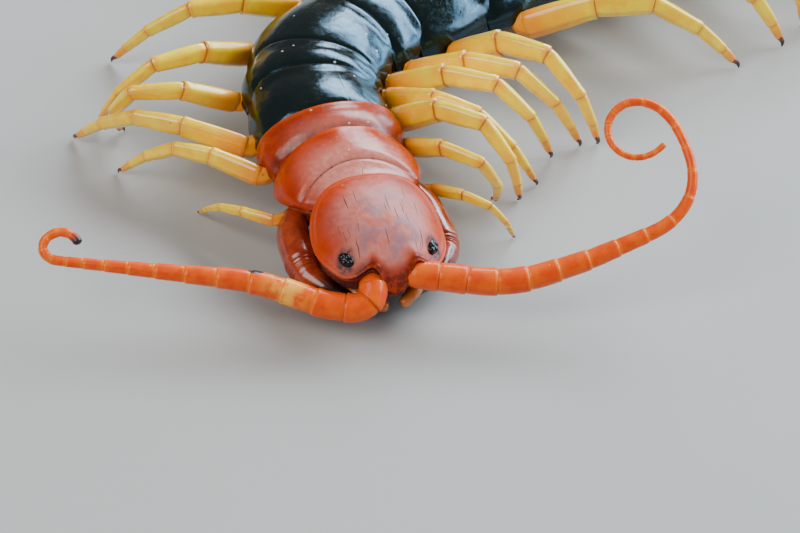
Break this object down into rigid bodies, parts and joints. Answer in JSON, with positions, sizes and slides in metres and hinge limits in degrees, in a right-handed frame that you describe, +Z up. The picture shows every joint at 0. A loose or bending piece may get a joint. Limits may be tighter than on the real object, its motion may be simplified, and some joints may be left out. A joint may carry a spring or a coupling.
{
  "type": "giant centipede",
  "caption": "Still life-size model of a giant centipede: domed head, curled feelers, poison claws, plated bent trunk on jointed legs.",
  "frame": {"origin": "middle of the model's box in plan, at the height of the floor that it stands on", "axes": "+Z up, +Y from the head towards the tail, +X towards the animal's left side at the head"},
  "size_m": [0.0862, 0.1606, 0.014],
  "materials": {
    "head_orange": "waxy orange-red shell with a pinkish sheen",
    "plate_orange": "smooth orange back plate",
    "plate_dark": "glossy black-green back plate",
    "leg_yellow": "translucent yellow, thin brown rings at the joints",
    "feeler_orange": "satin saturated orange",
    "fang_brown": "glossy orange-brown with a dark tip",
    "eye_black": "glossy black",
    "tail_dark": "glossy dark brown"
  },
  "bodies": {
    "root": {"antenna_left": "feeler_orange", "antenna_right": "feeler_orange", "eye_left": "eye_black", "eye_right": "eye_black", "forcipule_left": "fang_brown", "forcipule_right": "fang_brown", "head": "head_orange", "leg_left_01": "leg_yellow", "leg_left_02": "leg_yellow", "leg_left_03": "leg_yellow", "leg_left_04": "leg_yellow", "leg_left_05": "leg_yellow", "leg_left_06": "leg_yellow", "leg_left_07": "leg_yellow", "leg_left_08": "leg_yellow", "leg_left_09": "leg_yellow", "leg_left_10": "leg_yellow", "leg_left_11": "leg_yellow", "leg_left_12": "leg_yellow", "leg_left_13": "leg_yellow", "leg_left_14": "leg_yellow", "leg_left_15": "leg_yellow", "leg_left_16": "leg_yellow", "leg_left_17": "leg_yellow", "leg_left_18": "leg_yellow", "leg_left_19": "leg_yellow", "leg_left_20": "leg_yellow", "leg_left_21": "tail_dark", "leg_right_01": "leg_yellow", "leg_right_02": "leg_yellow", "leg_right_03": "leg_yellow", "leg_right_04": "leg_yellow", "leg_right_05": "leg_yellow", "leg_right_06": "leg_yellow", "leg_right_07": "leg_yellow", "leg_right_08": "leg_yellow", "leg_right_09": "leg_yellow", "leg_right_10": "leg_yellow", "leg_right_11": "leg_yellow", "leg_right_12": "leg_yellow", "leg_right_13": "leg_yellow", "leg_right_14": "leg_yellow", "leg_right_15": "leg_yellow", "leg_right_16": "leg_yellow", "leg_right_17": "leg_yellow", "leg_right_18": "leg_yellow", "leg_right_19": "leg_yellow", "leg_right_20": "leg_yellow", "leg_right_21": "tail_dark", "trunk_01": "plate_orange", "trunk_02": "plate_orange", "trunk_03_04": "plate_dark", "trunk_05_06": "plate_dark", "trunk_07_08": "plate_dark", "trunk_09_10": "plate_dark", "trunk_11_12": "plate_dark", "trunk_13_14": "plate_dark", "trunk_15_16": "plate_dark", "trunk_17_18": "plate_dark", "trunk_19_20_21": "plate_dark"}
  },
  "joints": []
}
